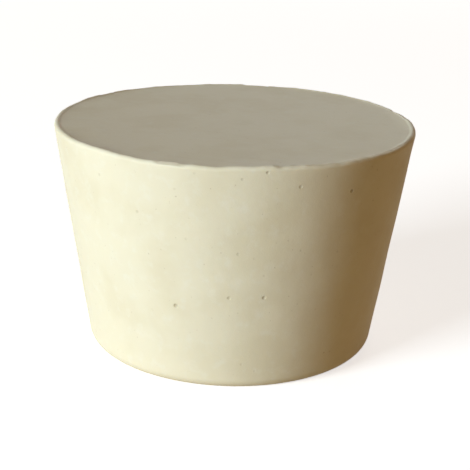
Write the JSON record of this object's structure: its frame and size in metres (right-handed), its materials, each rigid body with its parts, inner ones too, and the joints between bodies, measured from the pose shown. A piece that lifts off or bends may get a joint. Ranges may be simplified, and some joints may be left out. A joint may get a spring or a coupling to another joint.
{
  "type": "laboratory rubber stopper",
  "caption": "Solid tapered rubber stopper that seals the neck of a flask or bottle: a truncated cone with flat ends, a rounded lower edge and no hole.",
  "frame": {"origin": "centre of the flat face of the narrow end, on which the stopper stands", "axes": "+Z along the axis of the taper, from the narrow end up to the wide end; X and Y are any two directions across it"},
  "size_m": [0.0408, 0.0408, 0.026],
  "materials": {
    "rubber": "matte moulded natural-white rubber, cream coloured, with fine pits and a trimmed upper edge"
  },
  "bodies": {
    "root": {"stopper": "rubber"}
  },
  "joints": []
}
